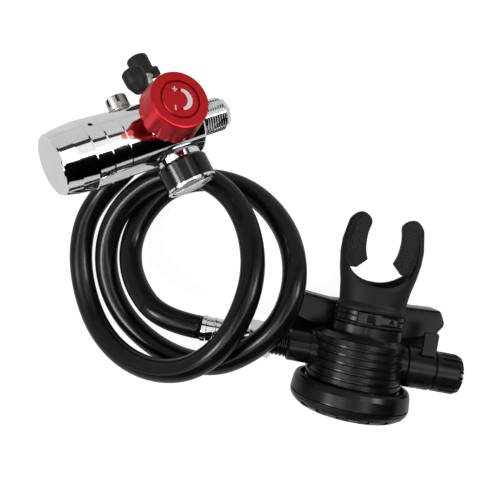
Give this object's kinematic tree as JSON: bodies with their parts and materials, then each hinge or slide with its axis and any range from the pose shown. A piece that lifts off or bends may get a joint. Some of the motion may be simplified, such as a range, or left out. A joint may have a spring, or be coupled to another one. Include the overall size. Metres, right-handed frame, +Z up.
{
  "type": "scuba regulator set",
  "caption": "Compact scuba regulator set: chrome screw-in first stage with gauge, knob and filling nipple, coiled hose, and second stage with mouthpiece.",
  "frame": {"origin": "on the ground under the middle of the two stages, hose left out of that middle", "axes": "+Z up; +X to the right and +Y to the top of the picture, which looks straight down"},
  "size_m": [0.2218, 0.1937, 0.1021],
  "materials": {
    "chrome": "polished plating",
    "satin_steel": "satin",
    "brass_inner": "machined",
    "black_plastic": "fine grain",
    "black_rubber": "matt rubber",
    "hose_rubber": "smooth rubber",
    "mouth_silicone": "soft silicone",
    "red_anodised": "satin",
    "dial_face": "printed",
    "clear_lens": "clear",
    "needle_paint": "painted",
    "mark_white": "printed",
    "clear_membrane": "thin silicone"
  },
  "bodies": {
    "set": {"first_stage_body": "chrome", "end_cap": "chrome", "vent_ring": "chrome", "lock_ring": "chrome", "tank_o_ring": "black_rubber", "inlet_filter": "brass_inner", "filter_clip": "satin_steel", "stem_guide": "brass_inner", "shaft_o_rings": "black_rubber", "pressure_orifice": "brass_inner", "main_spring": "satin_steel", "bonnet": "chrome", "gauge_boss": "chrome", "gauge_case": "black_plastic", "gauge_dial": "dial_face", "gauge_movement": "brass_inner", "gauge_lens": "clear_lens", "gauge_bezel": "chrome", "fill_nipple": "chrome", "burst_plug": "chrome", "burst_disc": "brass_inner", "hose": "hose_rubber", "hose_fitting_first": "chrome", "ferrule_first": "chrome", "hose_fitting_second": "chrome", "ferrule_second": "chrome", "case": "black_plastic", "case_ring": "black_plastic", "front_cover": "black_rubber", "purge_spring": "satin_steel", "diaphragm": "clear_membrane", "valve_tube": "chrome", "valve_orifice": "brass_inner", "poppet_spring": "satin_steel", "inlet_collar": "black_plastic", "adjust_barrel": "black_plastic", "lever_bracket": "satin_steel", "exhaust_tee": "black_plastic", "exhaust_valve": "clear_membrane", "mouthpiece": "mouth_silicone", "mouthpiece_clamp": "black_plastic"},
    "piston_group": {"piston": "brass_inner", "seat_insert": "mark_white", "piston_o_ring": "black_rubber"},
    "valve_knob_group": {"valve_knob": "red_anodised", "knob_insert": "red_anodised", "knob_marks": "mark_white", "valve_spindle": "satin_steel"},
    "plug": {"valve_plug": "brass_inner"},
    "needle": {"gauge_needle": "needle_paint"},
    "cap_of_nipple": {"dust_cap": "black_rubber"},
    "check_valve": {"nipple_valve": "brass_inner"},
    "button": {"purge_button": "black_rubber"},
    "plate": {"diaphragm_plate": "satin_steel"},
    "lever": {"demand_lever": "satin_steel"},
    "seat_carrier": {"poppet": "black_plastic"},
    "adjuster": {"adjust_knob": "black_plastic"},
    "adjuster_spindle": {"adjust_spindle": "brass_inner"},
    "flow_tab": {"flow_lever": "black_plastic"},
    "nut": {"swivel_nut": "chrome"}
  },
  "joints": [
    {"name": "piston_slide", "type": "slide", "parent": "set", "child": "piston_group", "axis": [0.7769, 0.3557, -0.5195], "range_m": [0, 0.001], "stiffness_N_per_m": 2000, "deforming": ["main_spring"]},
    {"name": "valve_turn", "type": "hinge", "parent": "set", "child": "valve_knob_group", "pos_m": [-0.04302, 0.06223, 0.08675], "axis": [0.4453, 0.2729, 0.8528], "range_deg": [0, 540]},
    {"name": "plug_lift", "type": "slide", "parent": "set", "child": "plug", "axis": [0.4453, 0.2729, 0.8528], "range_m": [0, 0.00121]},
    {"name": "needle_turn", "type": "hinge", "parent": "set", "child": "needle", "pos_m": [-0.03829, 0.03093, 0.05912], "axis": [-0.4451, 0.8939, -0.0537], "range_deg": [0, 270]},
    {"name": "dust_cap_pull", "type": "slide", "parent": "set", "child": "cap_of_nipple", "axis": [-0.4451, 0.8939, -0.0537], "range_m": [0, 0.016]},
    {"name": "fill_check", "type": "slide", "parent": "set", "child": "check_valve", "axis": [0.4451, -0.8939, 0.0537], "range_m": [0, 0.0004]},
    {"name": "purge_press", "type": "slide", "parent": "set", "child": "button", "axis": [0.1821, 0.9827, 0.0349], "range_m": [0, 0.002], "stiffness_N_per_m": 400, "deforming": ["purge_spring"]},
    {"name": "plate_slide", "type": "slide", "parent": "set", "child": "plate", "axis": [0.1821, 0.9827, 0.0349], "range_m": [0, 0.0021], "deforming": ["diaphragm"]},
    {"name": "lever_turn", "type": "hinge", "parent": "set", "child": "lever", "pos_m": [0.0627, -0.0738, 0.0331], "axis": [0.0064, 0.0343, -0.9994], "range_deg": [0, 7.7]},
    {"name": "poppet_slide", "type": "slide", "parent": "set", "child": "seat_carrier", "axis": [0.9833, -0.1822, 0], "range_m": [0, 0.00061], "deforming": ["poppet_spring"]},
    {"name": "adjust_turn", "type": "hinge", "parent": "set", "child": "adjuster", "pos_m": [0.09966, -0.07191, 0.0334], "axis": [-0.9833, 0.1822, 0], "range_deg": [0, 720]},
    {"name": "adjust_spindle_slide", "type": "slide", "parent": "set", "child": "adjuster_spindle", "axis": [-0.9833, 0.1822, 0], "range_m": [0, 0.00201]},
    {"name": "flow_lever_turn", "type": "hinge", "parent": "set", "child": "flow_tab", "pos_m": [0.08934, -0.07, 0.0334], "axis": [0.9833, -0.1822, 0], "range_deg": [0, 60]},
    {"name": "swivel_turn", "type": "hinge", "parent": "set", "child": "nut", "pos_m": [-0.00456, -0.0526, 0.0334], "axis": [0.9833, -0.1822, 0], "continuous": true}
  ],
  "couplings": [
    {"joint": "plug_lift", "follows": "valve_turn", "m_per_rad": 0.00012732},
    {"joint": "plate_slide", "follows": "purge_press", "ratio": 1},
    {"joint": "lever_turn", "follows": "purge_press", "rad_per_m": 66.672},
    {"joint": "poppet_slide", "follows": "purge_press", "ratio": 0.3},
    {"joint": "adjust_spindle_slide", "follows": "adjust_turn", "m_per_rad": 0.00015915}
  ]
}
